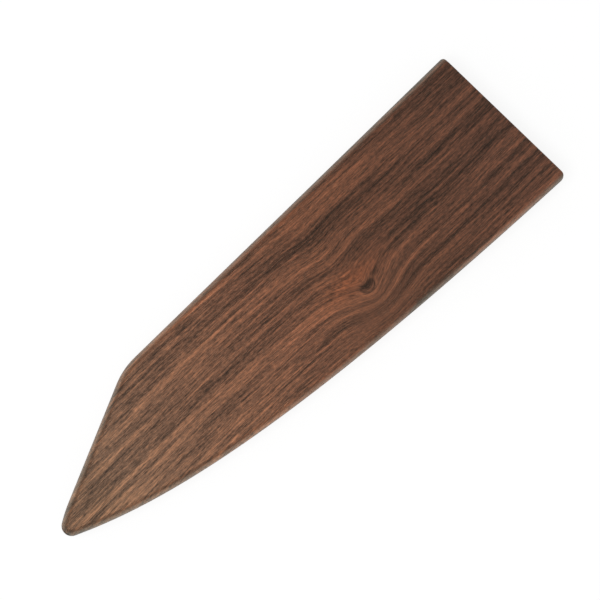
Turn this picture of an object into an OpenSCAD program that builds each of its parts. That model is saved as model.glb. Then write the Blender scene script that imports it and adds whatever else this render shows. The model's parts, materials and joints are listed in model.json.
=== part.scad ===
// Wooden blade guard for a 210 mm kitchen knife with an angled front.
// Two routed walnut shells are glued face to face. Each has half of the blade pocket, a felt
// lining on the pocket floor and six disc magnets let into that floor under the felt.
// Frame: the guard lies flat. +X points out of the mouth, +Y to the spine, +Z out of the front face.
// The origin is at the middle of the rear face's box, on the surface that the guard lies on.

/* [Guard outline] */
// Overall length, from the nose to the mouth
guard_length = 225; // [218:1:240]
// Height from the belly to the spine, at the mouth
guard_height = 63.3; // [61:0.1:68]
// Thickness of one shell
shell_t = 8; // [7.8:0.1:10]
// Angle by which the mouth leans from square to the spine
mouth_rake = 1.9; // [0:0.1:3]
// Angle between the spine and the straight front
front_slope = 23.7; // [22:0.1:28]
// Distance from the nose to the point where spine and front would meet
front_run = 57.8; // [55:0.1:62]
// Radius that blends the spine into the front
front_corner_r = 29; // [15:1:40]
// Radius of the slow curve between the straight front and the nose
front_end_r = 55; // [30:5:80]
// Angle through which that curve turns
front_end_turn = 8.5; // [1:0.5:12]
// Radius of the nose
nose_r = 3.8; // [3.6:0.1:4.5]
// Angle of the belly to the spine where it leaves the nose
belly_nose_slope = 24; // [23:0.5:28]
// Length over which the belly keeps that angle
belly_nose_reach = 37.5; // [33:0.5:41]
// Angle of the belly to the spine at the mouth
belly_mouth_slope = 1.7; // [0.5:0.1:3]
// Length over which the belly keeps that angle
belly_mouth_reach = 135; // [125:1:138]
// Radius of the mouth's corner at the spine, seen from above
mouth_spine_r = 1.5; // [0.6:0.1:3]
// Radius of the mouth's corner at the belly, seen from above
mouth_belly_r = 2.6; // [0.6:0.1:3]

/* [Edges] */
// Radius of the routed edge round both faces
edge_r = 4; // [2:0.1:4.2]
// Depth sanded off the face after routing, which leaves the crease along the edge
face_skim = 0.12; // [0.05:0.01:0.3]
// Bevel on the outer edge of the mouth
mouth_break = 0.4; // [0.2:0.1:1]
// Bevel on the inner edge of the mouth, which leads the blade in
lead_in = 0.8; // [0.4:0.1:1.4]

/* [Blade pocket] */
// Wood between the pocket and the spine or belly
wall = 5.5; // [4.5:0.1:6.5]
// Wood between the pocket and the nose
nose_wall = 11.7; // [11:0.1:14]
// Depth routed into each shell
pocket_depth = 3; // [2.6:0.1:3.4]
// Radius of the pocket's point, half the cutter's width
pocket_nose_r = 2.5; // [1.5:0.1:3]
// Angle of the pocket's belly to the spine where it leaves the point
pocket_nose_slope = 21; // [19:0.5:23]
// Length over which the pocket's belly keeps that angle
pocket_nose_reach = 37; // [34:0.5:40]
// Length over which the pocket's belly keeps the mouth's angle
pocket_mouth_reach = 119; // [112:0.5:122]

/* [Lining] */
// Thickness of the felt
felt_t = 0.6; // [0.4:0.1:0.8]
// Gap between the felt's edge and the pocket wall
felt_gap = 0.3; // [0.2:0.1:0.6]
// Distance that the felt stops short of the mouth
felt_setback = 1.6; // [1.4:0.1:4]

/* [Magnets] */
// Diameter of a disc magnet
magnet_d = 10; // [8:0.5:10]
// Thickness of a disc magnet
magnet_t = 3; // [2:0.1:3]
// Radial glue gap round a magnet
glue_gap = 0.1; // [0.05:0.05:0.2]
// Distance from the mouth to the first magnet
first_magnet = 20; // [16:1:22]
// Spacing of the magnets along the guard
magnet_pitch = 31; // [26:1:31]
// Height of the magnet line above the middle of the guard, at the first magnet
magnet_line = 0.5; // [0:0.5:1]
// Rise of that line from one magnet to the next
magnet_rise = 1.2; // [1:0.1:1.4]
// Distance of each magnet from the line, in turn towards the spine and the belly
magnet_stagger = 8; // [5:0.5:8]

/* [Hidden] */
MAGNET_COUNT = 6;

walnut = [0.36, 0.22, 0.15];
felt = [0.13, 0.12, 0.12];
nickel = [0.75, 0.74, 0.72];

half_length = guard_length / 2;
half_height = guard_height / 2;
// Distance from the rounding of the mouth's belly corner to the sharp corner that it takes off
corner_reach = mouth_belly_r * tan((90 + mouth_rake + belly_mouth_slope) / 2);
// That sharp corner, which lies just outside the guard's box
mouth_corner = [half_length + corner_reach * sin(mouth_rake),
                -half_height - corner_reach * sin(belly_mouth_slope)];
floor_t = shell_t - pocket_depth;
// Angle on the routed arc at which the sanded face cuts it
crease_angle = acos(1 - face_skim / edge_r);
// Angle on the arc at the depth of the mouth's bevel
break_angle = acos(1 - (face_skim + mouth_break) / edge_r);

// Steps of each curve
corner_steps = 12;
front_end_steps = 4;
nose_steps = 16;
belly_steps = 44;
mouth_corner_steps = 6;
crease_steps = 2;
arc_steps = 6;
magnet_fn = 48;
magnet_bevel = 0.3;
// Overlap that a cutter has past the surface it breaks through
cut_past = 1;
// Share of its radius at which a mouth corner is centred, a little less than 1 so that the
// cutter's arc crosses both sides
corner_share = 0.995;

// Position of the mouth at height y, moved back into the guard by back
function mouth_x(y, back = 0) = mouth_corner[0] - back - (y - mouth_corner[1]) * tan(mouth_rake);

function bezier(p, t) = pow(1 - t, 3) * p[0] + 3 * pow(1 - t, 2) * t * p[1]
    + 3 * (1 - t) * pow(t, 2) * p[2] + pow(t, 3) * p[3];

function bezier_slope(p, t) = pow(1 - t, 2) * (p[1] - p[0])
    + 2 * (1 - t) * t * (p[2] - p[1]) + pow(t, 2) * (p[3] - p[2]);

// Unit vector that points from the belly curve into the wood
function into_wood(p, t) = let (d = bezier_slope(p, t)) [-d[1], d[0]] / norm(d);

// Points on an arc, from its first point or, with first = 1, from the one after it
function arc(centre, r, from, to, steps, first = 0) =
    [for (i = [first:steps]) let (a = from + (to - from) * i / steps)
        centre + r * [cos(a), sin(a)]];

// Closed outline of a blade shape, anticlockwise from the spine corner of the mouth: spine, blended
// corner, straight front, its curved end, nose, belly. inset moves all but the mouth inwards, back
// moves the mouth.
function blade_outline(nose_x, top_y, bottom_y, corner_x, corner_r, end_r, point_r,
                       nose_slope, nose_reach, mouth_reach, inset = 0, back = 0) =
    let (
        front_angle = 90 + front_slope,
        end_angle = front_angle + front_end_turn,
        corner_centre = [corner_x + corner_r * tan(front_slope / 2), top_y - corner_r],
        drop = (end_r - point_r) * (1 - cos(front_end_turn)),
        nose_centre = [nose_x + point_r,
                       top_y + (nose_x + point_r - corner_x) * tan(front_slope)
                       - (point_r + drop) / cos(front_slope)],
        end_centre = nose_centre - (end_r - point_r) * [cos(end_angle), sin(end_angle)],
        belly_start = nose_centre + point_r * [cos(270 - nose_slope), sin(270 - nose_slope)],
        belly_end = [mouth_x(bottom_y), bottom_y],
        belly = [belly_start,
                 belly_start + nose_reach * [cos(nose_slope), -sin(nose_slope)],
                 belly_end - mouth_reach * [cos(belly_mouth_slope), -sin(belly_mouth_slope)],
                 belly_end],
        last = belly_end + inset * into_wood(belly, 1),
        slide = (mouth_x(last[1], back) - last[0])
                / (cos(belly_mouth_slope) - sin(belly_mouth_slope) * tan(mouth_rake))
    )
    concat(
        [[mouth_x(top_y - inset, back), top_y - inset]],
        arc(corner_centre, corner_r - inset, 90, front_angle, corner_steps),
        arc(end_centre, end_r - inset, front_angle, end_angle, front_end_steps),
        arc(nose_centre, point_r - inset, end_angle, 270 - nose_slope, nose_steps, 1),
        [for (i = [1:belly_steps - 1]) let (t = i / belly_steps)
            bezier(belly, t) + inset * into_wood(belly, t)],
        [last + slide * [cos(belly_mouth_slope), -sin(belly_mouth_slope)]]
    );

function guard_outline(inset = 0, back = 0) =
    blade_outline(-half_length, half_height, mouth_corner[1], front_run - half_length, front_corner_r,
                  front_end_r, nose_r, belly_nose_slope, belly_nose_reach, belly_mouth_reach,
                  inset, back);

// The pocket's outline, grown on the mouth side by back = -cut_past when it is a cutter
function pocket_outline(inset = 0, back = 0) =
    blade_outline(nose_wall - half_length, half_height - wall, wall + mouth_corner[1],
                  front_run - half_length + wall * tan(front_slope / 2), front_corner_r - wall,
                  front_end_r - wall, pocket_nose_r, pocket_nose_slope, pocket_nose_reach,
                  pocket_mouth_reach, inset, back);

// Angles on the routed arc, from the side wall up to the crease
arc_angles = concat(
    [for (i = [0:arc_steps - 1]) 90 + (break_angle - 90) * i / arc_steps],
    [for (i = [0:crease_steps]) break_angle + (crease_angle - break_angle) * i / crease_steps]
);

// Height on the arc at angle a, above the glue face
function arc_z(a) = shell_t - edge_r * (cos(crease_angle) - cos(a));

// One ring round the blank for each height: the glue face, then the arc up to the crease
function shell_rings() = concat(
    [[for (p = guard_outline()) [p[0], p[1], 0]]],
    [for (a = arc_angles)
        let (z = arc_z(a), back = max(0, z - (shell_t - mouth_break)))
        [for (p = guard_outline(edge_r * (1 - sin(a)), back)) [p[0], p[1], z]]]
);

// Solid through a stack of rings that have the same number of points
module loft(rings) {
    n = len(rings[0]);
    last = len(rings) - 1;
    polyhedron(
        points = [for (ring = rings, p = ring) p],
        faces = concat(
            [[for (i = [0:n - 1]) i]],
            [for (k = [0:last - 1], i = [0:n - 1]) let (j = (i + 1) % n)
                [k * n + j, k * n + i, (k + 1) * n + i]],
            [for (k = [0:last - 1], i = [0:n - 1]) let (j = (i + 1) % n)
                [k * n + j, (k + 1) * n + i, (k + 1) * n + j]],
            [[for (i = [n - 1:-1:0]) last * n + i]]
        )
    );
}

// Places of the magnets in the plan, in a zigzag along the blade
magnet_places = [for (i = [0:MAGNET_COUNT - 1])
    [half_length - first_magnet - i * magnet_pitch,
     magnet_line + i * magnet_rise + (i % 2 == 0 ? magnet_stagger : -magnet_stagger)]];

// Wedge that opens the pocket floor towards the mouth
module lead_in_cutter() {
    translate([mouth_x(-half_height), -half_height, pocket_depth])
        rotate([0, 0, mouth_rake])
        translate([0, guard_height - wall, 0])
        rotate([90, 0, 0])
        linear_extrude(guard_height - 2 * wall)
        polygon([[cut_past, lead_in + cut_past], [-lead_in, 0], [-lead_in, -cut_past],
                 [cut_past, -cut_past]]);
}

// Point that is the distance d inside both the mouth and the spine
function spine_corner(d) = [mouth_x(half_height - d, d / cos(mouth_rake)), half_height - d];

// Point that is the distance d inside both the mouth and the belly
function belly_corner(d) =
    let (back = d * corner_reach / mouth_belly_r)
    mouth_corner - back * [cos(belly_mouth_slope), -sin(belly_mouth_slope)]
        + d * [sin(belly_mouth_slope), cos(belly_mouth_slope)];

// Prism past a corner of the mouth, which leaves it round in the plan. from and to are the
// directions that its two sides face
module corner_cutter(centre, r, from, to) {
    far = 2 * r;
    translate([0, 0, -cut_past])
        linear_extrude(shell_t + 2 * cut_past)
        polygon(concat(arc(centre, r, from, to, mouth_corner_steps), arc(centre, far, to, from, 2)));
}

// One shell with its glue face at z = 0 and its outer face up
module shell() {
    difference() {
        loft(shell_rings());
        translate([0, 0, -cut_past])
            linear_extrude(pocket_depth + cut_past) polygon(pocket_outline(0, -cut_past));
        lead_in_cutter();
        corner_cutter(spine_corner(corner_share * mouth_spine_r), mouth_spine_r, mouth_rake, 90);
        corner_cutter(belly_corner(corner_share * mouth_belly_r), mouth_belly_r,
                      -90 - belly_mouth_slope, mouth_rake);
        for (place = magnet_places)
            translate([place[0], place[1], pocket_depth - cut_past])
                cylinder(h = magnet_t + cut_past, r = magnet_d / 2 + glue_gap, $fn = magnet_fn);
    }
}

// Felt glued to the pocket floor
module lining() {
    translate([0, 0, pocket_depth - felt_t])
        linear_extrude(felt_t) polygon(pocket_outline(felt_gap, felt_setback));
}

// Disc magnet that fills its hole up to the pocket floor
module magnet(place) {
    translate([place[0], place[1], pocket_depth])
        rotate_extrude($fn = magnet_fn)
        polygon([[0, 0], [magnet_d / 2 - magnet_bevel, 0], [magnet_d / 2, magnet_bevel],
                 [magnet_d / 2, magnet_t - magnet_bevel], [magnet_d / 2 - magnet_bevel, magnet_t],
                 [0, magnet_t]]);
}

// Puts a piece in the front half, above the glue face
module front_half() {
    translate([0, 0, shell_t]) children();
}

// Puts a piece in the rear half, as its mirror image below the glue face
module rear_half() {
    translate([0, 0, shell_t]) mirror([0, 0, 1]) children();
}

module front_shell() { color(walnut) front_half() shell(); }
module rear_shell() { color(walnut) rear_half() shell(); }
module front_lining() { color(felt) front_half() lining(); }
module rear_lining() { color(felt) rear_half() lining(); }
module front_magnet(i) { color(nickel) front_half() magnet(magnet_places[i]); }
module rear_magnet(i) { color(nickel) rear_half() magnet(magnet_places[i]); }

front_shell();
rear_shell();
front_lining();
rear_lining();
front_magnet(0);  // front_magnet_1
front_magnet(1);  // front_magnet_2
front_magnet(2);  // front_magnet_3
front_magnet(3);  // front_magnet_4
front_magnet(4);  // front_magnet_5
front_magnet(5);  // front_magnet_6
rear_magnet(0);  // rear_magnet_1
rear_magnet(1);  // rear_magnet_2
rear_magnet(2);  // rear_magnet_3
rear_magnet(3);  // rear_magnet_4
rear_magnet(4);  // rear_magnet_5
rear_magnet(5);  // rear_magnet_6
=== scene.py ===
# %% [markdown]
# A wooden blade guard is two thin walnut boards glued face to face. Each is routed out for half of
# the knife's blade, lined with felt, and holds small disc magnets under the felt.
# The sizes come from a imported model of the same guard, which is loaded first and stays fixed.
# Everything made here is put in its place, in metres, in that model's own frame: +X points out of
# the mouth where the blade goes in, +Y points to the straight spine edge, and +Z points up.

# %% Load the fixed model
import json
import math

import bmesh
import bpy
from mathutils import Matrix, Vector

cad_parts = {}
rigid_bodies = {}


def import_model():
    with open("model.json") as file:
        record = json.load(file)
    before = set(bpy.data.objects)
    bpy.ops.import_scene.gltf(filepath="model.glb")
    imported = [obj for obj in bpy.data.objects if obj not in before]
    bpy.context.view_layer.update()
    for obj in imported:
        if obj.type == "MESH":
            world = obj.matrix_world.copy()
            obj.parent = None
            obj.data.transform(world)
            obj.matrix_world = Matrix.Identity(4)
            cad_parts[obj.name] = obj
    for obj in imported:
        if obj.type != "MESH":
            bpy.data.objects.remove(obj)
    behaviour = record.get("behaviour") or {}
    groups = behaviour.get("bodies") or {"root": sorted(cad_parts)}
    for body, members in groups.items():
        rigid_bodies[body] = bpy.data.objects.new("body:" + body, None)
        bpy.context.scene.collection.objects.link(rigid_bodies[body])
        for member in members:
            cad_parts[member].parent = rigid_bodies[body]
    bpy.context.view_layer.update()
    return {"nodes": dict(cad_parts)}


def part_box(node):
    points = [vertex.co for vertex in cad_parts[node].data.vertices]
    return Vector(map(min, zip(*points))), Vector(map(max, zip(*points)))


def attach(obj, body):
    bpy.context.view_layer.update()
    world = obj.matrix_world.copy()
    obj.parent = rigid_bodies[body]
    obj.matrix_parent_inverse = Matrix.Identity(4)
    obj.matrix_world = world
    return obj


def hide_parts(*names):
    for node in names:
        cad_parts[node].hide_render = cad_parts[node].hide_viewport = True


for leftover in list(bpy.data.objects):
    bpy.data.objects.remove(leftover)
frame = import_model()

# %% [markdown]
# The lengths below are in millimetres, because that is how a maker reads a drawing. The overall
# ones are read from the model. The ones that shape the outline repeat the drawing of the guard.
# Modelling in millimetres also keeps the mesh operators well away from their smallest distances.
# Each finished mesh is scaled to metres in its last step.

# %% Sizes of the guard
METRE = 0.001
shell_low, shell_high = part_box("front_shell")
half_length = (shell_high.x - shell_low.x) / 2 / METRE
half_height = (shell_high.y - shell_low.y) / 2 / METRE
shell_t = (shell_high.z - shell_low.z) / METRE
glue_z = shell_low.z / METRE

mouth_rake = math.radians(1.9)
front_slope = math.radians(23.7)
front_end_turn = math.radians(8.5)
belly_mouth_slope = math.radians(1.7)
front_run = 57.8
corner_r = 29.0
front_end_r = 55.0
mouth_spine_r = 1.5
mouth_belly_r = 2.6
guard_nose_r = 3.8
pocket_nose_r = 2.5
# Slope of the belly beside the nose, and the length of its handles at the nose and at the mouth
guard_belly = (math.radians(24), 37.5, 135.0)
pocket_belly = (math.radians(21), 37.0, 119.0)
wall = 5.5
nose_wall = 11.7
pocket_depth = 3.0
edge_r = 4.0
face_skim = 0.12
print("half length, half height, board:", [round(v, 2) for v in (half_length, half_height, shell_t)])

# %% [markdown]
# The mouth is the end that the blade goes into. It leans a little, and its corners are rounded last
# of all. So everything is drawn first to the sharp corner that the belly has before that.
# An arc could be a row of points, but as a curve it needs only two knots with handles. Each handle
# is 4/3 tan(a/4) times the radius long, where a is the angle that the arc turns through.

# %% The mouth's corner and the knots of an arc


def along(angle):
    return Vector((math.cos(angle), math.sin(angle), 0))


belly_out = along(-belly_mouth_slope)
corner_turn = math.pi / 2 + mouth_rake + belly_mouth_slope
corner_reach = mouth_belly_r * math.tan(corner_turn / 2)
mouth_corner = Vector((
    half_length + corner_reach * math.sin(mouth_rake),
    -half_height - corner_reach * math.sin(belly_mouth_slope), 0,
))


def mouth_x(y):
    return mouth_corner.x - (y - mouth_corner.y) * math.tan(mouth_rake)


def handle(radius, turn):
    """Length of the handles of an arc that turns through an angle."""
    return radius * 4 / 3 * math.tan(turn / 4)


def bend(centre, radius, facing, behind, ahead):
    """Knot on an arc at the angle it faces. Its handles are given by length, None for a straight."""
    back = None if behind is None else behind * along(facing - math.pi / 2)
    on = None if ahead is None else ahead * along(facing + math.pi / 2)
    return centre + radius * along(facing), back, on


print("sharp corner of the mouth:", [round(v, 2) for v in mouth_corner.xy], "mm")

# %% [markdown]
# The outline of the guard is the outline of the knife with a margin. It has a straight spine, a
# blended corner, a straight angled front that bends down slowly at its end, a small round nose and
# one long curve for the belly.
# It could be made from circles and lines that are trimmed, but a Bezier curve is how it is drawn by
# hand: every corner is a point with a handle on each side, and the belly is one piece of curve
# between two long handles. The pocket has the same kind of outline, so both are drawn the same way.
# The curve runs past the mouth by some spare length, which is sawn off later. So the mouth is cut
# clean through the rounded edges, as it is on the bench.

# %% Draw a blade outline
SPARE = 14.0
CURVE_STEPS = 40


def blade_outline(name, nose_x, top_y, bottom_y, corner, end_r, nose_r, belly):
    """Flat closed outline as a mesh of edges, drawn from the spine round the nose to the belly."""
    corner_x, corner_r = corner
    nose_slope, nose_reach, mouth_reach = belly
    up = math.pi / 2
    turn = up + front_slope
    end_turn = turn + front_end_turn
    drop = (end_r - nose_r) * (1 - math.cos(front_end_turn))
    nose_top = top_y + (nose_x + nose_r - corner_x) * math.tan(front_slope)
    corner = Vector((corner_x + corner_r * math.tan(front_slope / 2), top_y - corner_r, 0))
    nose = Vector((nose_x + nose_r, nose_top - (nose_r + drop) / math.cos(front_slope), 0))
    end = nose - (end_r - nose_r) * along(end_turn)
    nose_end = 3 * up - nose_slope
    nose_half = (nose_end - end_turn) / 2
    nose_middle = end_turn + nose_half
    corner_handle = handle(corner_r, front_slope)
    end_handle = handle(end_r, front_end_turn)
    nose_handle = handle(nose_r, nose_half)
    belly_end = Vector((mouth_x(bottom_y), bottom_y, 0))
    # Each knot is its place, the handle behind it and the handle in front of it, None for a straight
    knots = [
        (Vector((half_length + SPARE, top_y, 0)), None, None),
        bend(corner, corner_r, up, None, corner_handle),
        bend(corner, corner_r, turn, corner_handle, None),
        bend(end, end_r, turn, None, end_handle),
        bend(nose, nose_r, end_turn, end_handle, nose_handle),
        bend(nose, nose_r, nose_middle, nose_handle, nose_handle),
        bend(nose, nose_r, nose_end, nose_handle, nose_reach),
        (belly_end, -mouth_reach * belly_out, None),
        (belly_end + SPARE * belly_out, None, None),
    ]
    curve = bpy.data.curves.new(name, "CURVE")
    curve.dimensions = "3D"
    curve.resolution_u = CURVE_STEPS
    spline = curve.splines.new("BEZIER")
    spline.bezier_points.add(len(knots) - 1)
    spline.use_cyclic_u = True
    for knot, (place, back, on) in zip(spline.bezier_points, knots):
        knot.co = place
        knot.handle_left_type = "VECTOR" if back is None else "FREE"
        knot.handle_right_type = "VECTOR" if on is None else "FREE"
        if back is not None:
            knot.handle_left = place + back
        if on is not None:
            knot.handle_right = place + on
    holder = bpy.data.objects.new(name, curve)
    mesh = bpy.data.meshes.new_from_object(holder)
    bpy.data.objects.remove(holder)
    bpy.data.curves.remove(curve)
    return mesh


guard_outline = blade_outline(
    "guard_outline", -half_length, half_height, mouth_corner.y,
    corner=(front_run - half_length, corner_r),
    end_r=front_end_r, nose_r=guard_nose_r, belly=guard_belly,
)
pocket_outline = blade_outline(
    "pocket_outline", nose_wall - half_length, half_height - wall, wall + mouth_corner.y,
    corner=(front_run - half_length + wall * math.tan(front_slope / 2), corner_r - wall),
    end_r=front_end_r - wall, nose_r=pocket_nose_r, belly=pocket_belly,
)
print("outline points:", len(guard_outline.vertices), "pocket points:", len(pocket_outline.vertices))

# %% [markdown]
# A few small helpers keep the steps short. Sawing is a bisect that throws away one side. Filling
# closes a flat ring of edges with one face. A finished mesh is turned the right way out, brought
# to metres and handed to the object that shows it.

# %% Bench helpers
# Edges that turn by more than SHARP stay sharp, and points closer than SAME are one point
SHARP = math.radians(38)
SAME = 1e-3
ON_CUT = 1e-5


def filled_outline(outline):
    """New mesh with the outline's one flat face."""
    shape = bmesh.new()
    shape.from_mesh(outline)
    bmesh.ops.remove_doubles(shape, verts=shape.verts, dist=SAME)
    bmesh.ops.contextual_create(shape, geom=shape.edges[:])
    return shape


def thicken(shape, height):
    """Pulls every face up by height, which leaves a closed slab."""
    pulled = bmesh.ops.extrude_face_region(shape, geom=shape.faces[:])["geom"]
    raised = [part for part in pulled if isinstance(part, bmesh.types.BMVert)]
    bmesh.ops.translate(shape, verts=raised, vec=(0, 0, height))
    bmesh.ops.recalc_face_normals(shape, faces=shape.faces)


def saw(shape, place, direction):
    """Cuts all of the mesh with a plane, drops what is past it and returns the cut's edges."""
    cut = bmesh.ops.bisect_plane(
        shape, geom=shape.verts[:] + shape.edges[:] + shape.faces[:],
        plane_co=place, plane_no=direction, clear_outer=True, dist=ON_CUT,
    )
    return [part for part in cut["geom_cut"] if isinstance(part, bmesh.types.BMEdge)]


def round_edges(shape, edges, size, segments):
    return bmesh.ops.bevel(
        shape, geom=edges, offset=size, offset_type="OFFSET", segments=segments, profile=0.5,
        affect="EDGES", clamp_overlap=False, material=-1,
    )


def mouth_plane(back=0.0):
    """Place and direction of the plane that the mouth is sawn on."""
    return mouth_corner - Vector((back, 0, 0)), along(mouth_rake)


def off_mouth(point):
    """Distance of a point inside the mouth's plane."""
    place, direction = mouth_plane()
    return (place - point).dot(direction)


def finish_piece(shape, name, turn):
    """Moves the mesh to its place, closes it, sets which edges stay sharp and makes its object."""
    bmesh.ops.remove_doubles(shape, verts=shape.verts, dist=SAME)
    bmesh.ops.transform(shape, matrix=Matrix.Scale(METRE, 4) @ turn, verts=shape.verts)
    bmesh.ops.recalc_face_normals(shape, faces=shape.faces)
    for face in shape.faces:
        face.smooth = True
    for edge in shape.edges:
        edge.smooth = edge.calc_face_angle(math.pi) < SHARP
    open_edges = sum(not edge.is_manifold for edge in shape.edges)
    mesh = bpy.data.meshes.new(name)
    shape.to_mesh(mesh)
    shape.free()
    piece = bpy.data.objects.new(name, mesh)
    bpy.context.scene.collection.objects.link(piece)
    flats = piece.modifiers.new("flats", "WEIGHTED_NORMAL")
    flats.keep_sharp = True
    print(name, "faces:", len(mesh.polygons), "open edges:", open_edges)
    return piece


front_place = Matrix.Translation((0, 0, glue_z))
rear_place = front_place @ Matrix.Scale(-1, 4, (0, 0, 1))
print("glue line at a height of", round(glue_z, 2), "mm")

# %% [markdown]
# One board starts as a blank a little thicker than it ends. A router with a round-over bit runs
# round its upper edge, and the face is then sanded down by a tenth of a millimetre or so.
# The sanding cuts into the top of the rounding and leaves the fine crease that runs along the
# edge of the real guard. A bevel that ends exactly on the face would have no crease. So this
# does what the maker does: bevel first, then cut the face flat with a plane.

# %% Rout and sand a blank
SEAM = 0.12
SEAM_STEPS = 1
ROUTED_STEPS = 14


def routed_blank():
    """Blank with its glue face down, its rounded and sanded face up, and its spare end still on."""
    blank = filled_outline(guard_outline)
    thicken(blank, shell_t + face_skim)
    rim = [edge for edge in blank.edges if min(v.co.z for v in edge.verts) > shell_t]
    round_edges(blank, rim, edge_r, ROUTED_STEPS)
    crease = saw(blank, (0, 0, shell_t), (0, 0, 1))
    bmesh.ops.contextual_create(blank, geom=crease)
    seam = [edge for edge in blank.edges if max(v.co.z for v in edge.verts) < SAME]
    round_edges(blank, seam, SEAM, SEAM_STEPS)
    return blank


blank = routed_blank()
print("blank faces:", len(blank.faces), "open edges:", sum(not edge.is_manifold for edge in blank.edges))
blank.free()

# %% [markdown]
# The blade pocket is a flat recess in the glue face that opens at the mouth. Taking a boolean of
# two solids would make it, but leaves a tangle of edges on the big flat faces. Here the recess is
# made as a second open shape. Its floor is filled round six circles, and each circle is then sunk
# to hold a magnet.

# %% Cut the pocket and the magnet holes
HOLE_R = 5.1
HOLE_DEPTH = 3.0
HOLE_SIDES = 64
# Upward part of the normal past which a face counts as a floor
UPRIGHT = 0.5
magnet_names = [name for name in frame["nodes"] if name.startswith("front_magnet")]
magnet_middles = [sum(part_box(name), Vector()) / 2 / METRE for name in sorted(magnet_names)]


def pocket_recess():
    """Walls and pierced floor of the pocket, open at the glue face and at the mouth."""
    recess = filled_outline(pocket_outline)
    saw(recess, *mouth_plane())
    thicken(recess, pocket_depth)
    ends = [
        face for face in recess.faces
        if face.normal.z < -UPRIGHT or off_mouth(face.calc_center_median()) < SAME
    ]
    bmesh.ops.delete(recess, geom=ends, context="FACES")
    floor = [face for face in recess.faces if face.normal.z > UPRIGHT]
    floor_edges = list(floor[0].edges)
    bmesh.ops.delete(recess, geom=floor, context="FACES_ONLY")
    rings = []
    for middle in magnet_middles:
        spot = Matrix.Translation((middle.x, middle.y, pocket_depth))
        made = bmesh.ops.create_circle(
            recess, cap_ends=False, segments=HOLE_SIDES, radius=HOLE_R, matrix=spot,
        )
        rings.append(list({edge for vert in made["verts"] for edge in vert.link_edges}))
    borders = floor_edges + sum(rings, [])
    bmesh.ops.triangle_fill(recess, use_beauty=True, edges=borders, normal=(0, 0, 1))
    for ring in rings:
        sunk = bmesh.ops.extrude_edge_only(recess, edges=ring)["geom"]
        points = [part for part in sunk if isinstance(part, bmesh.types.BMVert)]
        bmesh.ops.translate(recess, verts=points, vec=(0, 0, HOLE_DEPTH))
        bottom = [part for part in sunk if isinstance(part, bmesh.types.BMEdge)]
        bmesh.ops.contextual_create(recess, geom=bottom)
    return recess


recess = pocket_recess()
print("recess faces:", len(recess.faces), "magnet holes:", len(magnet_middles))
recess.free()

# %% [markdown]
# The board and its recess are sawn by the same mouth plane. Two short edges join them there, and
# then one face closes the gap between them on the glue side and one at the mouth. Joining them
# point by point would do the same, but one large face stays flat and takes a clean bevel.

# %% Join the board and its recess


def flat_ring(shape, keep):
    """Open edges of the mesh whose two ends both pass the test."""
    return [edge for edge in shape.edges if edge.is_boundary and all(keep(v.co) for v in edge.verts)]


def open_board():
    """One board with its pocket and holes, and all edges at the mouth still square."""
    board = routed_blank()
    saw(board, *mouth_plane())
    glue_face = [face for face in board.faces if max(v.co.z for v in face.verts) < SAME]
    bmesh.ops.delete(board, geom=glue_face, context="FACES")
    recess = pocket_recess()
    joined = bpy.data.meshes.new("recess")
    recess.to_mesh(joined)
    recess.free()
    board.from_mesh(joined)
    bpy.data.meshes.remove(joined)
    # The four glue face corners at the mouth, from the spine down, are joined in two pairs
    corners = [
        v for v in board.verts
        if abs(v.co.z) < SAME and abs(off_mouth(v.co)) < SAME and v.is_boundary
    ]
    corners.sort(key=lambda v: -v.co.y)
    for pair in (corners[:2], corners[2:]):
        bmesh.ops.contextual_create(board, geom=pair)
    joints = [board.edges.get(pair) for pair in (corners[:2], corners[2:])]
    bmesh.ops.contextual_create(board, geom=flat_ring(board, lambda co: abs(co.z) < SAME) + joints)
    bmesh.ops.contextual_create(board, geom=flat_ring(board, lambda co: abs(off_mouth(co)) < SAME))
    # Every face is turned outward before any bevel, because a bevel moves into the wood by its faces
    bmesh.ops.recalc_face_normals(board, faces=board.faces)
    return board


board = open_board()
print("board faces:", len(board.faces), "open edges:", sum(not edge.is_manifold for edge in board.edges))
board.free()

# %% [markdown]
# Freshly sawn edges are sharp. On the guard the outer edge of the mouth is rubbed down with
# sandpaper, and the inner edge gets a wider flat bevel, so that the knife's heel finds its way in.
# Both could be modelled as extra faces, but a bevel on the edges that lie in the mouth's plane is
# the same act as on the bench, and it follows the rounded corners by itself.
# Last, the two outer corners are rubbed round in the plan. That is a row of flat strokes with the
# sanding block, each turned a little from the one before, and here it is a row of plane cuts.

# %% Break the edges of the mouth
MOUTH_BREAK = 0.4
MOUTH_STEPS = 3
LEAD_IN = 0.8
LEAD_STEPS = 1
SLOT_BREAK = 0.25
SLOT_STEPS = 2
# Longest run in Y of an edge that counts as a side of the slot
SIDEWAYS = 0.1
CORNER_STROKES = 8


def mouth_edges(shape, keep):
    return [
        edge for edge in shape.edges
        if all(abs(off_mouth(v.co)) < SAME for v in edge.verts) and keep(edge)
    ]


def in_pocket(edge):
    """True for an edge of the mouth that borders the blade pocket."""
    middle = (edge.verts[0].co + edge.verts[1].co) / 2
    return abs(middle.y) < half_height - wall + SAME and middle.z < pocket_depth + SAME


def rub_corner(board, centre, radius, start, turn):
    """Rounds a corner with flat cuts that touch its circle, turned from start on."""
    for stroke in range(1, CORNER_STROKES + 1):
        facing = along(start + turn * stroke / (CORNER_STROKES + 1))
        bmesh.ops.contextual_create(board, geom=saw(board, centre + radius * facing, facing))


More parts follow.
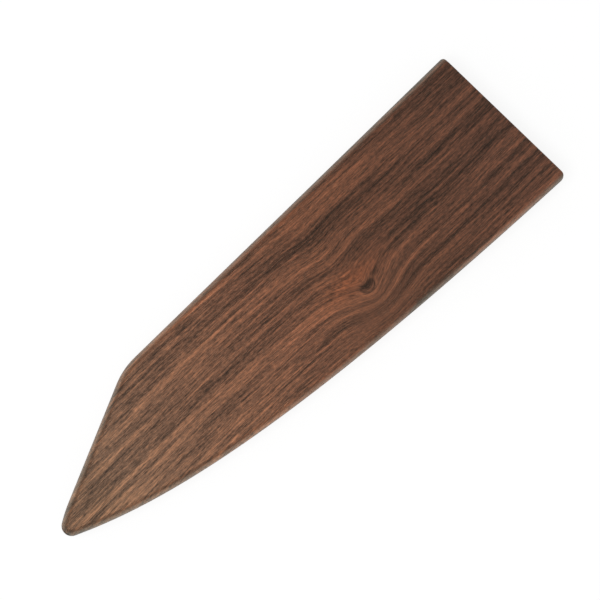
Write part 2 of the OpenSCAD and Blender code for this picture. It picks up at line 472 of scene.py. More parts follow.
def rub_corners(board):
    spine_y = half_height - mouth_spine_r
    spine_x = mouth_x(spine_y) - mouth_spine_r / math.cos(mouth_rake)
    rub_corner(board, Vector((spine_x, spine_y, 0)), mouth_spine_r, mouth_rake, math.pi / 2 - mouth_rake)
    belly_in = mouth_belly_r * along(math.pi / 2 - belly_mouth_slope)
    centre = mouth_corner - corner_reach * belly_out + belly_in
    rub_corner(board, centre, mouth_belly_r, mouth_rake - corner_turn, corner_turn)


def half_guard(name, place):
    board = open_board()
    lip = [e for e in mouth_edges(board, in_pocket) if min(v.co.z for v in e.verts) > pocket_depth - SAME]
    round_edges(board, lip, LEAD_IN, LEAD_STEPS)
    rim = mouth_edges(board, lambda e: not in_pocket(e) and max(v.co.z for v in e.verts) > SAME)
    round_edges(board, rim, MOUTH_BREAK, MOUTH_STEPS)
    inner = mouth_edges(board, in_pocket)
    sides = [e for e in inner if abs(e.verts[0].co.y - e.verts[1].co.y) < SIDEWAYS]
    round_edges(board, sides, SLOT_BREAK, SLOT_STEPS)
    rub_corners(board)
    return finish_piece(board, name, place)


front_board = half_guard("front_board", front_place)
rear_board = half_guard("rear_board", rear_place)
for board, node in ((front_board, "front_shell"), (rear_board, "rear_shell")):
    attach(board, "root")
    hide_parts(node)

# %% [markdown]
# The felt is thin pressed wool, cut a little smaller than the pocket floor and glued down. It
# keeps the blade off the wood. A cut edge of felt is soft and slightly rounded, so a flat sheet
# with sharp sides would look like card. The sheet starts as the pocket's own outline, is inset by
# the gap, sawn short of the mouth, thickened, and its edges are rounded over.

# %% Cut the felt linings
FELT_T = 0.6
FELT_GAP = 0.3
FELT_SETBACK = 1.6
FELT_ROUND = 0.22
FELT_STEPS = 3
# Edges that turn by more than this are the felt's cut edges
FELT_CORNER = math.radians(60)


def felt_lining(name, place):
    felt = filled_outline(pocket_outline)
    trimmed = bmesh.ops.inset_region(felt, faces=felt.faces[:], thickness=FELT_GAP, use_even_offset=True)
    bmesh.ops.delete(felt, geom=trimmed["faces"], context="FACES")
    saw(felt, *mouth_plane(FELT_SETBACK))
    area = sum(face.calc_area() for face in felt.faces)
    thicken(felt, FELT_T)
    bmesh.ops.translate(felt, verts=felt.verts, vec=(0, 0, pocket_depth - FELT_T))
    border = [edge for edge in felt.edges if edge.calc_face_angle(0) > FELT_CORNER]
    top = pocket_depth - FELT_T + SAME
    blade_side = [edge for edge in border if max(v.co.z for v in edge.verts) < top]
    round_edges(felt, blade_side, FELT_ROUND, FELT_STEPS)
    return finish_piece(felt, name, place), area


for side, place in (("front", front_place), ("rear", rear_place)):
    felt, felt_area = felt_lining(side + "_felt", place)
    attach(felt, "root")
    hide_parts(side + "_lining")

# %% [markdown]
# A material here is a small recipe of nodes. Adding nodes by hand takes four lines each, so this
# helper adds one node, sets its options, and gives each input either a number or the output of
# another node. The recipe then reads in the order in which the colour is worked out.

# %% Recipe helper


class Recipe:
    """Adds nodes to one material. Inputs are numbers, tuples or the outputs of other nodes."""

    def __init__(self, name, holder=None):
        self.material = holder or bpy.data.materials.new(name)
        self.material.use_nodes = True
        self.tree = self.material.node_tree
        self.tree.nodes.clear()

    def add(self, kind, inputs=(), **options):
        node = self.tree.nodes.new(kind)
        for option, value in options.items():
            setattr(node, option, value)
        for key, value in dict(inputs).items():
            if isinstance(value, bpy.types.NodeSocket):
                self.tree.links.new(value, node.inputs[key])
            else:
                node.inputs[key].default_value = value
        return node

    def math(self, operation, *values):
        return self.add("ShaderNodeMath", dict(enumerate(values)), operation=operation).outputs[0]

    def total(self, *values):
        result = values[0]
        for value in values[1:]:
            result = self.math("ADD", result, value)
        return result

    def times(self, a, b):
        return self.math("MULTIPLY", a, b)

    def hill(self, distance, width):
        """1 where distance is 0, falling off smoothly over width on both sides."""
        scaled = self.math("DIVIDE", distance, width)
        return self.math("EXPONENT", self.math("MULTIPLY", self.times(scaled, scaled), -1.0))

    def in_mm(self, place):
        scale = {0: place, "Scale": 1 / METRE}
        return self.add("ShaderNodeVectorMath", scale, operation="SCALE").outputs[0]

    def point(self, x, y, z):
        return self.add("ShaderNodeCombineXYZ", {0: x, 1: y, 2: z}).outputs[0]

    def blob(self, place, middle, spread):
        """1 at the middle, falling off smoothly over the spread in each direction."""
        kind = "ShaderNodeVectorMath"
        away = self.add(kind, {0: place, 1: middle}, operation="SUBTRACT").outputs[0]
        away = self.add(kind, {0: away, 1: spread}, operation="DIVIDE").outputs[0]
        far = self.add(kind, {0: away, 1: away}, operation="DOT_PRODUCT").outputs["Value"]
        return self.math("POWER", 1 / math.e, far)

    def noise(self, place, detail=2.0, roughness=0.5, scale=1.0, twist=0.0):
        """Noise from about 0 to 1 that changes over a distance of 1 / scale."""
        inputs = {"Vector": place, "Scale": scale, "Detail": detail, "Roughness": roughness}
        return self.add("ShaderNodeTexNoise", {**inputs, "Distortion": twist}).outputs["Fac"]

    def wave(self, place, detail):
        """The same noise, moved down so that it lies about 0."""
        return self.math("SUBTRACT", self.noise(place, detail), 0.5)

    def spread(self, value, low, high, to_low=0.0, to_high=1.0):
        """Stretches low..high to to_low..to_high and stops at both ends."""
        inputs = {"Value": value, "From Min": low, "From Max": high, "To Min": to_low, "To Max": to_high}
        return self.add("ShaderNodeMapRange", inputs).outputs[0]

    def mix(self, share, first, second, blend="MIX"):
        inputs = {0: share, 6: first, 7: second}
        return self.add("ShaderNodeMix", inputs, data_type="RGBA", blend_type=blend).outputs[2]

    def ramp(self, value, stops):
        node = self.add("ShaderNodeValToRGB", {0: value})
        steps = node.color_ramp.elements
        while len(steps) < len(stops):
            steps.new(0.5)
        for step, (place, colour) in zip(steps, stops):
            step.position = place
            step.color = colour
        return node.outputs["Color"]

    def finish(self, base, roughness, height=None, depth=0.0, **constants):
        """Joins the recipe to a surface. height is in shares of depth, in metres."""
        inputs = {"Base Color": base, "Roughness": roughness}
        for name, value in constants.items():
            inputs[name.replace("_", " ").title().replace("Ior", "IOR")] = value
        if height is not None:
            bump = self.add("ShaderNodeBump", {"Height": height, "Distance": depth, "Strength": 1.0})
            inputs["Normal"] = bump.outputs["Normal"]
        shader = self.add("ShaderNodeBsdfPrincipled", inputs)
        self.add("ShaderNodeOutputMaterial", {"Surface": shader.outputs[0]})
        return self.material


def from_screen(red, green, blue):
    """A colour as a screen shows it, from 0 to 255, as the shader needs it. The curve is a standard."""
    parts = (value / 255 for value in (red, green, blue))
    return tuple(v / 12.92 if v <= 0.04045 else ((v + 0.055) / 1.055) ** 2.4 for v in parts) + (1.0,)


print("half grey in the shader:", round(from_screen(127.5, 127.5, 127.5)[0], 3))

# %% [markdown]
# Fibres run along the board and part round a knot as water does round a stone. So the grain isn't
# drawn on the face. Each point of the wood is first given its height in the tree's own layers, and
# everything later is drawn at that height. Far from the knot it is nearly the point's own Y. It
# sinks slowly along the board, dips in three soft hollows at the knot, from wide to sharp, and
# sways a little everywhere: a slow wander, and a quick ripple that keeps fibres from looking combed.

# %% The run of the fibres
# Depth that the fibres sink by, and where along the board it starts and ends
SINK = (5.4, -52.0, 88.0)
# Depth, middle and spread of each hollow
HOLLOWS = (
    (1.9, (27.4, 7.2, 0.0), (8.6, 16.5, 1.0)),
    (5.7, (32.6, -13.6, 0.0), (12.9, 10.6, 1.0)),
    (1.5, (31.5, -11.0, 0.0), (3.2, 4.7, 1.0)),
)
# Most that the fibres sway to each side, then the length and the width that one sway takes
WANDER = (0.9, 55.0, 16.0)
RIPPLE = (0.22, 11.0, 4.0)
# The layers lean in the board: this is how far they move for each millimetre of depth
LEAN = 0.35


def sway(r, x, y, most, length, width):
    place = r.point(r.times(x, 1 / length), r.times(y, 1 / width), 0.0)
    return r.times(r.wave(place, detail=1.0), 2 * most)


def layer_height(r, x, y, depth, knotty):
    """Height of a point in the tree's layers, in millimetres, which stays the same along a fibre."""
    drop, start, stop = SINK
    sink = r.add("ShaderNodeMapRange", {
        "Value": x, "From Min": start, "From Max": stop, "To Min": 0.0, "To Max": drop,
    }, interpolation_type="SMOOTHSTEP").outputs[0]
    height = r.total(y, sink, sway(r, x, y, *WANDER), sway(r, x, y, *RIPPLE))
    if knotty:
        here = r.point(x, y, 0.0)
        for hollow, middle, spread in HOLLOWS:
            height = r.math("MULTIPLY_ADD", r.blob(here, middle, spread), hollow, height)
    return r.math("MULTIPLY_ADD", depth, LEAN, height)


print("the fibres sink", SINK[0], "mm and sway", round(WANDER[0] + RIPPLE[0], 2), "mm to each side")

# %% [markdown]
# Some growth lines of a board stand out: the near-black ones of a hard year and the pale ones
# between them. Noise alone would scatter these anywhere, so the ones that give this board its face
# are placed one by one. Each is one soft dash: its middle and half length along the board, its height
# in the layers, its half width, and how much it lightens or darkens.

# %% Growth lines that stand out
GROWTH_LINES = (
    (-28, 62, 12.8, 0.55, -1.0), (85, 40, 13.8, 0.40, -0.6), (8, 55, 8.8, 0.50, -0.6),
    (53, 12, 8.1, 0.50, -0.4), (-55, 60, 4.4, 1.60, -0.45), (-100, 16, 4.3, 0.50, -0.8),
    (-38, 24, 23.7, 0.50, -0.7), (-28, 40, 27.2, 2.40, -0.4), (36, 40, 26.8, 0.50, -0.4),
    (28, 40, 23.0, 3.20, -0.5), (-15, 50, 19.3, 0.40, -0.3), (55, 50, -1.2, 0.40, -0.5),
    (103, 10, -0.8, 0.40, -0.5), (64, 26, -5.0, 0.50, -0.7), (66, 32, -10.2, 0.60, -0.4),
    (44, 12, -12.4, 1.60, -0.4), (104, 10, -21.5, 0.60, -0.8), (80, 18, -18.8, 0.70, -0.4),
    (72, 22, 4.8, 0.50, -0.5), (102, 12, 5.8, 0.50, -0.6), (-78, 18, -1.1, 0.40, -0.5),
    (-38, 11, -5.9, 0.45, -0.6), (-38, 16, -13.9, 0.50, -0.5), (-62, 12, -11.6, 0.50, -0.4),
    (90, 26, 34.6, 0.60, -0.4), (12, 25, -18.5, 1.80, -0.35),
    (-98, 12, 0.8, 0.60, 0.9), (-92, 9, -2.7, 0.90, 0.8), (-78, 22, -2.6, 0.50, 0.5),
    (-75, 26, 11.2, 0.60, 0.5), (-8, 60, 16.5, 1.50, 0.5), (-13, 10, 17.6, 0.60, 0.4),
    (-10, 32, 10.8, 0.70, 0.3), (-30, 36, 0.9, 0.80, 0.4), (-12, 34, -2.8, 0.70, 0.6),
    (56, 14, -2.9, 0.60, 0.9), (52, 24, -7.9, 0.50, 0.7), (25, 9, 7.2, 0.80, 0.5),
    (30, 34, 1.5, 1.30, 0.4), (50, 13, 12.1, 0.40, 0.9), (85, 18, 12.6, 0.45, 0.8),
    (72, 30, 17.4, 0.40, 0.5), (101, 14, 16.1, 0.70, 0.6), (32, 36, 29.2, 1.80, 0.5),
    (85, 22, 27.0, 0.50, 0.4), (20, 13, -14.0, 0.80, 0.5),
)
LINE_SHARE = 0.26


def growth_lines(r, x, height):
    """Sum of all dashes, below 0 where the wood is darker and above 0 where it is lighter."""
    here = r.point(x, height, 0.0)
    result = 0.0
    for middle, half_long, level, half_wide, strength in GROWTH_LINES:
        dash = r.blob(here, (middle, level, 0.0), (half_long, half_wide, 1.0))
        result = r.math("MULTIPLY_ADD", dash, strength, result)
    return r.times(result, LINE_SHARE)


print("growth lines placed by hand:", len(GROWTH_LINES))

# %% [markdown]
# The rest of the grain is noise, stretched far along the fibres and little across them. One noise
# with many octaves would shrink in both directions at once. Real grain doesn't: a broad band runs
# the whole board, a fine fibre shows for a centimetre or less. So each width has a noise of its own,
# with its own length, and the last one is a mottle that is nearly as wide as long.
# The bands and the fibres are summed apart, because the bands grow stronger towards the mouth while
# the fibres fade. Beside the knot both are calmer, since the wood there is cut along its layers.
# A solid pattern in the piece's own space runs through the board, so the edges and the end grain
# agree with the face.

# %% Noise of the grain
# Length along the fibres, width across the layers, width in the other direction, and strength
BANDS = (
    (160.0, 9.0, 30.0, 0.34),
    (110.0, 4.2, 14.0, 0.42),
    (80.0, 1.9, 6.0, 0.70),
)
FIBRES = (
    (24.0, 0.95, 2.4, 0.52),
    (8.0, 0.48, 1.0, 0.62),
    (2.4, 0.27, 0.5, 0.62),
    (1.3, 0.90, 1.0, 0.34),
)
GRAIN_DETAIL = 0.6
# Where the strength changes along the board, and what it is at each end
CONTRAST_RUN = (-60.0, 60.0)
BAND_CONTRAST = (0.95, 1.25)
FIBRE_CONTRAST = (1.15, 1.08)
# Middle and spread of each calm place, and how much it takes away
CALM = (((33.0, -18.0, 0.0), (17.0, 7.0, 1.0), 0.5), ((30.0, -4.0, 0.0), (9.0, 4.0, 1.0), 0.6))


def stretched(r, x, height, depth, size):
    """Place in the wood, scaled so that noise there changes over this length, width and depth."""
    length, width, thick = size
    return r.point(r.times(x, 1 / length), r.times(height, 1 / width), r.times(depth, 1 / thick))


def grain_noise(r, x, height, depth, layers):
    """Sum of the noises of these layers, about 0."""
    parts = []
    for *size, strength in layers:
        place = stretched(r, x, height, depth, size)
        parts.append(r.times(r.wave(place, GRAIN_DETAIL), strength))
    return r.total(*parts)


def grain_tone(r, x, y, bands, fibres, knotty):
    """What the bands and the fibres add to the tone."""
    tone = r.total(
        r.times(bands, r.spread(x, *CONTRAST_RUN, *BAND_CONTRAST)),
        r.times(fibres, r.spread(x, *CONTRAST_RUN, *FIBRE_CONTRAST)),
    )
    if knotty:
        for middle, spread, share in CALM:
            calm = r.blob(r.point(x, y, 0.0), middle, spread)
            tone = r.times(tone, r.math("SUBTRACT", 1.0, r.times(calm, share)))
    return tone


print("noises:", len(BANDS), "for the bands and", len(FIBRES), "for the fibres")

# %% [markdown]
# The knot is the butt of a thin twig: a dark half moon with two darker corners and a softer upper
# edge, a line of bark round its lower half and a paler line outside that. Above it the fibres stand
# on end, which gives an orange patch with short mottles. The half moon and the patch are drawn on
# the face's own X and Y, over the grain. The mottles follow the layers.

# %% The knot
KNOT = (31.7, -8.7, 0.0)
# Middle, spread and share of the half moon and of its two corners
HEART = ((31.7, -9.1, 0.0), (2.4, 1.25, 1.0), 1.1)
SPOTS = (((29.6, -8.6, 0.0), (0.9, 0.6, 1.0), 0.5), ((34.0, -8.5, 0.0), (0.8, 0.6, 1.0), 0.5))
# Radius, half width and share of the bark, and radius and half width of the pale line
BARK = (3.0, 0.38, 0.8)
PALE_LINE = (4.0, 0.45)
# Y where the bark begins and where it is full
LOWER_HALF = (KNOT[1] + 0.6, KNOT[1] - 1.6)
# Middle and spread of the orange patch and of its mottles
PATCH = ((29.0, -3.6, 0.0), (12.5, 4.2, 1.0))
MOTTLES = ((26.0, -2.6, 0.0), (12.0, 5.0, 1.0))
MOTTLE_LENGTH = 1.7
MOTTLE_WIDTH = 0.8
PATCH_TONE = 0.08
MOTTLE_TONE = 0.9
PALE_TONE = 0.16
DARK_TONE = -0.38


def knot(r, x, y, height):
    """Share of the orange patch, and what all parts of the knot add to the tone."""
    here = r.point(x, y, 0.0)
    patch = r.blob(here, *PATCH)
    scales = r.point(r.times(x, 1 / MOTTLE_LENGTH), r.times(height, 1 / MOTTLE_WIDTH), 0.0)
    mottles = r.times(r.wave(scales, detail=1.0), r.blob(here, *MOTTLES))
    from_knot = r.add("ShaderNodeVectorMath", {0: here, 1: KNOT}, operation="SUBTRACT").outputs[0]
    out = r.add("ShaderNodeVectorMath", {0: from_knot}, operation="LENGTH").outputs["Value"]
    lower = r.spread(y, *LOWER_HALF)
    bark_r, bark_width, bark_share = BARK
    bark = r.times(lower, r.hill(r.math("SUBTRACT", out, bark_r), bark_width))
    dark = r.times(bark, bark_share)
    for middle, spread, share in (HEART, *SPOTS):
        dark = r.math("MULTIPLY_ADD", r.blob(here, middle, spread), share, dark)
    pale_r, pale_width = PALE_LINE
    pale = r.times(lower, r.hill(r.math("SUBTRACT", out, pale_r), pale_width))
    tone = r.total(
        r.times(patch, PATCH_TONE), r.times(mottles, MOTTLE_TONE), r.times(pale, PALE_TONE),
        r.times(dark, DARK_TONE),
    )
    return patch, tone


print("knot at", KNOT[:2], "mm, bark radius", BARK[0], "mm")

# %% [markdown]
# The wood's colour is a ramp from near black over chestnut to tan, read at the tone that the steps
# above add up to, after a few broad areas that are lighter or darker. The ramp is then multiplied
# by a slow tint along the board, which makes it greyer and lighter at the nose, redder in the middle
# and dark at the mouth.
# Last come the pores. In walnut they are long open channels that show as fine dark dashes on the
# face and as dots on the end grain, which also soaks up more oil and is darker.

# %% Tones and pores
WOOD_RAMP = (
    (0.00, (57, 37, 32)), (0.25, (92, 59, 45)), (0.50, (129, 84, 63)), (0.75, (163, 104, 74)),
    (1.00, (196, 124, 88)),
)
TINT_RUN = (-105.0, 105.0)
TINTS = (
    (0.05, (0.97, 1.29, 1.43, 1.0)), (0.12, (1.13, 1.46, 1.63, 1.0)), (0.33, (1.24, 1.33, 1.35, 1.0)),
    (0.48, (1.00, 0.98, 1.00, 1.0)), (0.62, (0.78, 0.73, 0.73, 1.0)), (0.76, (0.69, 0.64, 0.66, 1.0)),
    (0.98, (0.64, 0.60, 0.66, 1.0)),
)
PATCH_TINT = (1.22, 1.02, 0.86, 1.0)
# Lighter and darker areas: middle and spread in X and Y, and what they add to the tone
AREAS = (
    ((-90.0, -4.0), (16.0, 6.0), 0.10), ((-68.0, -12.0), (18.0, 6.0), 0.13),
    ((-42.0, -21.0), (20.0, 6.0), 0.17), ((-78.0, 14.0), (16.0, 6.0), 0.08),
    ((8.0, 8.0), (12.0, 6.0), -0.06), ((85.0, -1.0), (26.0, 6.0), -0.08),
    ((90.0, 10.0), (14.0, 4.0), 0.05), ((32.0, -17.0), (13.0, 6.0), 0.03),
    ((-111.8, -0.3), (2.4, 3.4), -0.40),
)
# Length, width and depth of a crowd of pores and of one pore
PORE_CROWD = (40.0, 3.0, 4.0)
PORE = (4.5, 0.22, 0.22)
CROWD_SHARE = 0.3
PORE_RANGE = (0.78, 0.88)
PORE_SHARE = 0.6
PORE_TINT = (0.40, 0.36, 0.36, 1.0)


def areas(r, x, y, tone):
    """The tone with all lighter and darker areas added."""
    for middle, spread, change in AREAS:
        area = r.blob(r.point(x, y, 0.0), (*middle, 0.0), (*spread, 1.0))
        tone = r.math("MULTIPLY_ADD", area, change, tone)
    return tone


def pores(r, x, height, depth):
    """1 inside a pore and 0 in the wood between them."""
    crowd = r.noise(stretched(r, x, height, depth, PORE_CROWD), detail=1.0)
    single = r.noise(stretched(r, x, height, depth, PORE), detail=0.0)
    return r.spread(r.math("MULTIPLY_ADD", crowd, CROWD_SHARE, single), *PORE_RANGE)


print("lighter and darker areas:", len(AREAS))

# %% [markdown]
# The rounded edge gets painted shade and painted light in its colour. A dark stripe of painted shade
# lies where the rounding starts to turn away from the light. It runs all along the spine, and on the
# belly it fades towards the mouth, where the rounding is painted paler as if a lamp lit that side.
# At the nose a painted highlight shows as a fine light line on the crease.
# Each of them sits at one tilt of the surface, so it is found from the normal. Painting it at a
# distance from the outline would need the outline in the material as well.

# %% Painted shade and light on the rounded edge
# Tilt is the upward part of the normal: 1 on the face and 0 on the sides
# Painted shade: a dark stripe where the rounding turns from the light, along the spine and on the belly
# away from the mouth
SHADE_STRIPE_TILT = 0.85
SHADE_STRIPE_WIDTH = 0.10
SHADE_STRIPE_TINT = (0.66, 0.57, 0.52, 1.0)
SHADE_STRIPE_SPINE = 0.85
SPINE_SIDE = (-3.0, 3.0)
# Painted light: the belly's rounding near the mouth is made paler, as if a lamp lit that side
LIT_BELLY_RUN = (-40.0, 50.0)
LIT_BELLY_TILT = (0.96, 0.84)
LIT_BELLY_TINT = (1.48, 1.44, 1.38, 1.0)
# Painted highlight: a fine light line on the crease at the nose
CREASE_HIGHLIGHT_TILT = 0.978
CREASE_HIGHLIGHT_WIDTH = 0.016
CREASE_HIGHLIGHT_RUN = (-88.0, -106.0)
CREASE_HIGHLIGHT_TINT = (1.30, 1.30, 1.30, 1.0)


def painted_edge_light(r, x, y, tilt, colour):
    """The colour with a painted shade stripe, painted light on the belly near the mouth and a painted
    highlight on the crease.
    """
    spine = r.spread(y, *SPINE_SIDE)
    # Painted shade stripe where the rounding starts to turn from the light
    shaded = r.hill(r.math("SUBTRACT", tilt, SHADE_STRIPE_TILT), SHADE_STRIPE_WIDTH)
    shade_run = r.math("MAXIMUM", r.times(spine, SHADE_STRIPE_SPINE), r.spread(x, *LIT_BELLY_RUN, 1.0, 0.0))
    colour = r.mix(r.times(shaded, shade_run), colour, SHADE_STRIPE_TINT, "MULTIPLY")
    # Painted light on the belly's rounding near the mouth
    lit_run = r.times(r.spread(x, *LIT_BELLY_RUN), r.math("SUBTRACT", 1.0, spine))
    colour = r.mix(r.times(lit_run, r.spread(tilt, *LIT_BELLY_TILT)), colour, LIT_BELLY_TINT, "MULTIPLY")
    # Painted highlight on the crease near the nose
    crease = r.hill(r.math("SUBTRACT", tilt, CREASE_HIGHLIGHT_TILT), CREASE_HIGHLIGHT_WIDTH)
    return r.mix(r.times(crease, r.spread(x, *CREASE_HIGHLIGHT_RUN)), colour, CREASE_HIGHLIGHT_TINT, "MULTIPLY")


# The stripe is painted shade
print("burnt stripe at a tilt of", round(math.degrees(math.acos(SHADE_STRIPE_TILT))), "degrees")

# %% [markdown]
# The surface is oiled and rubbed, not varnished. It has one warm, soft gloss, which is duller on
# the sides, on the end grain and in the pores. The gloss could be a coat over the wood, but a coat
# mirrors like varnish, and rubbed oil lies in the fibres. So the wood's own reflection is made
# stronger and warmer, and the fibres make it a little uneven.
# Both boards come from one plank, so they share this recipe. The rear one has no knot.

# %% Walnut
END_RANGE = (0.3, 0.9)
END_SHARE = 0.75
END_TINT = (0.42, 0.38, 0.36, 1.0)
ROUGHNESS = 0.36
FIBRE_GLOSS = 0.12
PORE_DULLNESS = 0.2
# The sides and the mouth are only sanded, and the rounding and the face are rubbed to a gloss
POLISH_TILT = (0.12, 0.42)
DULLNESS = (0.85, 0.3)
GLOSS = {"ior": 1.6, "specular_ior_level": 1.0, "specular_tint": (1.0, 0.97, 0.74, 1.0)}
RELIEF = 0.00004
MIDDLE_TONE = 0.5
# The rear board is cut from farther along the same plank
REAR_SHIFT = 340.0


def walnut(name, top, shift, flip, knotty):
    """Wood of one board. top is the Z of its outer face and shift its place along the plank, in mm."""
    r = Recipe(name)
    spot = r.add("ShaderNodeTexCoord").outputs
    axes = r.add("ShaderNodeSeparateXYZ", {0: r.in_mm(spot["Object"])}).outputs
    normal = r.add("ShaderNodeSeparateXYZ", {0: spot["Normal"]}).outputs
    x, y = axes[0], r.times(axes[1], flip)
    along_fibre = r.math("ADD", x, shift)
    depth = r.math("ABSOLUTE", r.math("SUBTRACT", axes[2], top))
    tilt = r.math("ABSOLUTE", normal[2])
    end_grain = r.spread(r.math("ABSOLUTE", normal[0]), *END_RANGE)

    height = layer_height(r, x, y, depth, knotty)
    bands = grain_noise(r, along_fibre, height, depth, BANDS)
    fibres = grain_noise(r, along_fibre, height, depth, FIBRES)
    grain = grain_tone(r, x, y, bands, fibres, knotty)
    tone = areas(r, x, y, r.total(MIDDLE_TONE, grain, growth_lines(r, x, height)))
    if knotty:
        patch, knot_tone = knot(r, x, y, height)
        tone = r.math("ADD", tone, knot_tone)

    colour = r.ramp(tone, [(stop, from_screen(*shade)) for stop, shade in WOOD_RAMP])
    colour = r.mix(1.0, colour, r.ramp(r.spread(x, *TINT_RUN), TINTS), "MULTIPLY")
    if knotty:
        colour = r.mix(patch, colour, PATCH_TINT, "MULTIPLY")
    holes = pores(r, along_fibre, height, depth)
    colour = r.mix(r.times(holes, PORE_SHARE), colour, PORE_TINT, "MULTIPLY")
    colour = r.mix(r.times(end_grain, END_SHARE), colour, END_TINT, "MULTIPLY")
    colour = painted_edge_light(r, x, y, tilt, colour)

    relief = r.math("SUBTRACT", fibres, holes)
    rough = r.math("SUBTRACT", ROUGHNESS, r.times(fibres, FIBRE_GLOSS))
    rough = r.math("MULTIPLY_ADD", holes, PORE_DULLNESS, rough)
    dull = r.math("MAXIMUM", r.spread(tilt, *POLISH_TILT, *DULLNESS), r.times(end_grain, DULLNESS[0]))
    return r.finish(colour, r.math("MAXIMUM", rough, dull), relief, RELIEF, **GLOSS)


front_walnut = walnut("front_walnut", top=2 * shell_t, shift=0.0, flip=1.0, knotty=True)
rear_walnut = walnut("rear_walnut", top=0.0, shift=REAR_SHIFT, flip=-1.0, knotty=False)
front_board.data.materials.append(front_walnut)
rear_board.data.materials.append(rear_walnut)
print("nodes in the front board's wood:", len(front_walnut.node_tree.nodes))

# %% [markdown]
# Pressed wool felt has no weave. It is a mat of crossing hairs, so its colour and its relief come
# from fine noise with no direction, and a sheen lights the hairs that stand up at a low angle.

# %% Felt
# Detail, roughness, scale and twist of the noise for the hairs and for the clumps that they form
HAIRS = (5.0, 0.7, 3.2, 1.6)
CLUMPS = (2.0, 0.5, 0.35, 0.0)
HAIR_SHARE = 0.75
FELT_RANGE = (0.35, 0.65)
FELT_SHADES = ((0.0, (34, 33, 33)), (1.0, (62, 59, 57)))
FELT_ROUGHNESS = 0.95
FELT_NAP = 0.00018
FELT_SHEEN = {"sheen_weight": 0.35, "sheen_roughness": 0.5}


def pressed_felt():
    r = Recipe("charcoal_felt")
    scaled = r.in_mm(r.add("ShaderNodeTexCoord").outputs["Object"])
    hairs = r.noise(scaled, *HAIRS)
    clumps = r.noise(scaled, *CLUMPS)
    mottle = r.total(r.times(hairs, HAIR_SHARE), r.times(clumps, 1 - HAIR_SHARE))
    shades = [(stop, from_screen(*shade)) for stop, shade in FELT_SHADES]
    colour = r.ramp(r.spread(mottle, *FELT_RANGE), shades)
    return r.finish(colour, FELT_ROUGHNESS, hairs, FELT_NAP, **FELT_SHEEN)


felt_material = pressed_felt()
for side in ("front", "rear"):
    bpy.data.objects[side + "_felt"].data.materials.append(felt_material)
print("nodes in the felt:", len(felt_material.node_tree.nodes))

# %% [markdown]
# The magnets are bright nickel discs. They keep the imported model's own meshes, because a disc with
# a small bevel is all that there is, and only get a finish: metal with the dull specks that plating
# picks up in a drawer full of other magnets.

# %% Nickel
# Detail, roughness and scale of the noise for the specks
SPECKS = (4.0, 0.7, 1.4)
NICKEL_SHADES = ((0.3, (0.52, 0.50, 0.47, 1.0)), (0.6, (0.66, 0.64, 0.61, 1.0)))
SPECK_RANGE = (0.3, 0.7)
NICKEL_ROUGHNESS = (0.34, 0.18)
NICKEL_RELIEF = 0.00001


def nickel_plate():
    r = Recipe("nickel_plate")
    specks = r.noise(r.in_mm(r.add("ShaderNodeTexCoord").outputs["Object"]), *SPECKS)
    colour = r.ramp(specks, NICKEL_SHADES)
    roughness = r.spread(specks, *SPECK_RANGE, *NICKEL_ROUGHNESS)
    return r.finish(colour, roughness, specks, NICKEL_RELIEF, metallic=1.0)


nickel = nickel_plate()
for name, node in frame["nodes"].items():
    if "magnet" in name:
        node.data.materials.clear()
        node.data.materials.append(nickel)
print("magnets finished:", sum("magnet" in name for name in frame["nodes"]))

# %% [markdown]
# The guard is shown from straight above, turned so that its spine runs from lower left to upper
# right. The camera stands well back with a long lens, which keeps the outline true. The place
# that the middle of the picture looks at and the turn were found by laying the outline over the photo.

# %% Camera
LENS = 120.0
SENSOR = 36.0
PICTURE = 600
PIXELS_PER_MM = 2.714
TURN = math.radians(-44.21)
LOOK_AT = (10.18, 4.18)

camera_data = bpy.data.cameras.new("camera")
camera_data.lens = LENS
camera_data.sensor_width = SENSOR
camera_height = LENS / SENSOR * PICTURE / PIXELS_PER_MM
camera = bpy.data.objects.new("camera", camera_data)
camera.location = Vector((*LOOK_AT, camera_height)) * METRE + Vector((0, 0, shell_high.z))
camera.rotation_euler = (0, 0, TURN)
bpy.context.scene.collection.objects.link(camera)
bpy.context.scene.camera = camera
print("camera height above the guard:", round(camera_height), "mm")

# %% [markdown]
# The guard lies on a white table in a room whose walls are white low down and dark higher up. That
# is how polished things are photographed: the flat face mirrors the dark ceiling and keeps its own
# deep colour, and the rounded edges mirror the table and the low walls and get a pale rim. Flooding
# the guard with light would do neither.
# Light Path tells a ray from the camera, or one that comes off a glossy surface or through glass,
# from the rays that carry light. The first kind see the room, where a strength of 1 is white, and
# the others one plain level. The floor works the same way: a paint that catches the guard's soft
# shadow, and a glow that only those first rays see and that brings it up to white.
# One large lamp hangs nearly overhead, a little to the nose side, so the nose is the lighter end.
# Glossy rays don't see it, because its mirror image would lie on the face as a haze.

# %% Light and floor
WALL_LEVEL = 0.50
ZENITH_LEVEL = 0.58
WALL_TOP = 0.05
CEILING_START = 0.42
CEILING = 0.12
KEY_PLACE = (-0.14, 0.06, 0.80)
KEY_SIZE = 0.40
KEY_POWER = 2.95
FLOOR_PAINT = 0.18
FLOOR_GLOW = 0.86
FLOOR_SIZE = 3.0
FLOOR_GAP = 0.0001


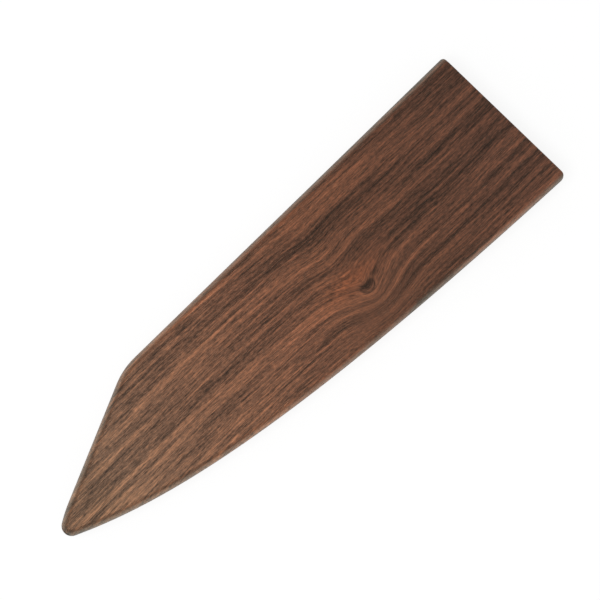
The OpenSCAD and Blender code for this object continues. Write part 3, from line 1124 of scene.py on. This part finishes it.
def looked_at(r):
    """1 for a ray that shows what it meets, and 0 for one that only carries its light."""
    path = r.add("ShaderNodeLightPath").outputs
    shown = r.math("MAXIMUM", path["Is Camera Ray"], path["Is Glossy Ray"])
    return r.math("MAXIMUM", shown, path["Is Transmission Ray"])


scene = bpy.context.scene
scene.view_settings.view_transform = "Standard"
world = bpy.data.worlds.new("white_room")
scene.world = world
w = Recipe("white_room", world)
rise = w.add("ShaderNodeSeparateXYZ", {0: w.add("ShaderNodeTexCoord").outputs["Generated"]}).outputs["Z"]
room = w.spread(rise, WALL_TOP, CEILING_START, 1.0, CEILING)
light = w.math("MULTIPLY_ADD", w.math("MAXIMUM", rise, 0.0), ZENITH_LEVEL - WALL_LEVEL, WALL_LEVEL)
strength = w.add("ShaderNodeMix", {0: looked_at(w), 2: light, 3: room}, data_type="FLOAT").outputs[0]
sky = w.add("ShaderNodeBackground", {"Strength": strength})
w.add("ShaderNodeOutputWorld", {"Surface": sky.outputs[0]})

key_data = bpy.data.lights.new("key", "AREA")
key_data.shape = "DISK"
key_data.size = KEY_SIZE
key_data.energy = KEY_POWER
key = bpy.data.objects.new("key", key_data)
key.location = KEY_PLACE
key.rotation_mode = "QUATERNION"
key.rotation_quaternion = Vector(KEY_PLACE).to_track_quat("Z", "Y")
key.visible_glossy = False
scene.collection.objects.link(key)

f = Recipe("floor")
paint = f.add("ShaderNodeBsdfDiffuse", {"Color": (FLOOR_PAINT, FLOOR_PAINT, FLOOR_PAINT, 1.0)})
glow = f.add("ShaderNodeEmission", {"Strength": f.times(looked_at(f), FLOOR_GLOW)})
both = f.add("ShaderNodeAddShader", {0: paint.outputs[0], 1: glow.outputs[0]})
f.add("ShaderNodeOutputMaterial", {"Surface": both.outputs[0]})

floor_shape = bmesh.new()
bmesh.ops.create_grid(floor_shape, x_segments=1, y_segments=1, size=FLOOR_SIZE)
bmesh.ops.translate(floor_shape, verts=floor_shape.verts, vec=(0, 0, -FLOOR_GAP))
floor_mesh = bpy.data.meshes.new("floor")
floor_shape.to_mesh(floor_mesh)
floor_shape.free()
floor = bpy.data.objects.new("floor", floor_mesh)
floor.data.materials.append(f.material)
scene.collection.objects.link(floor)
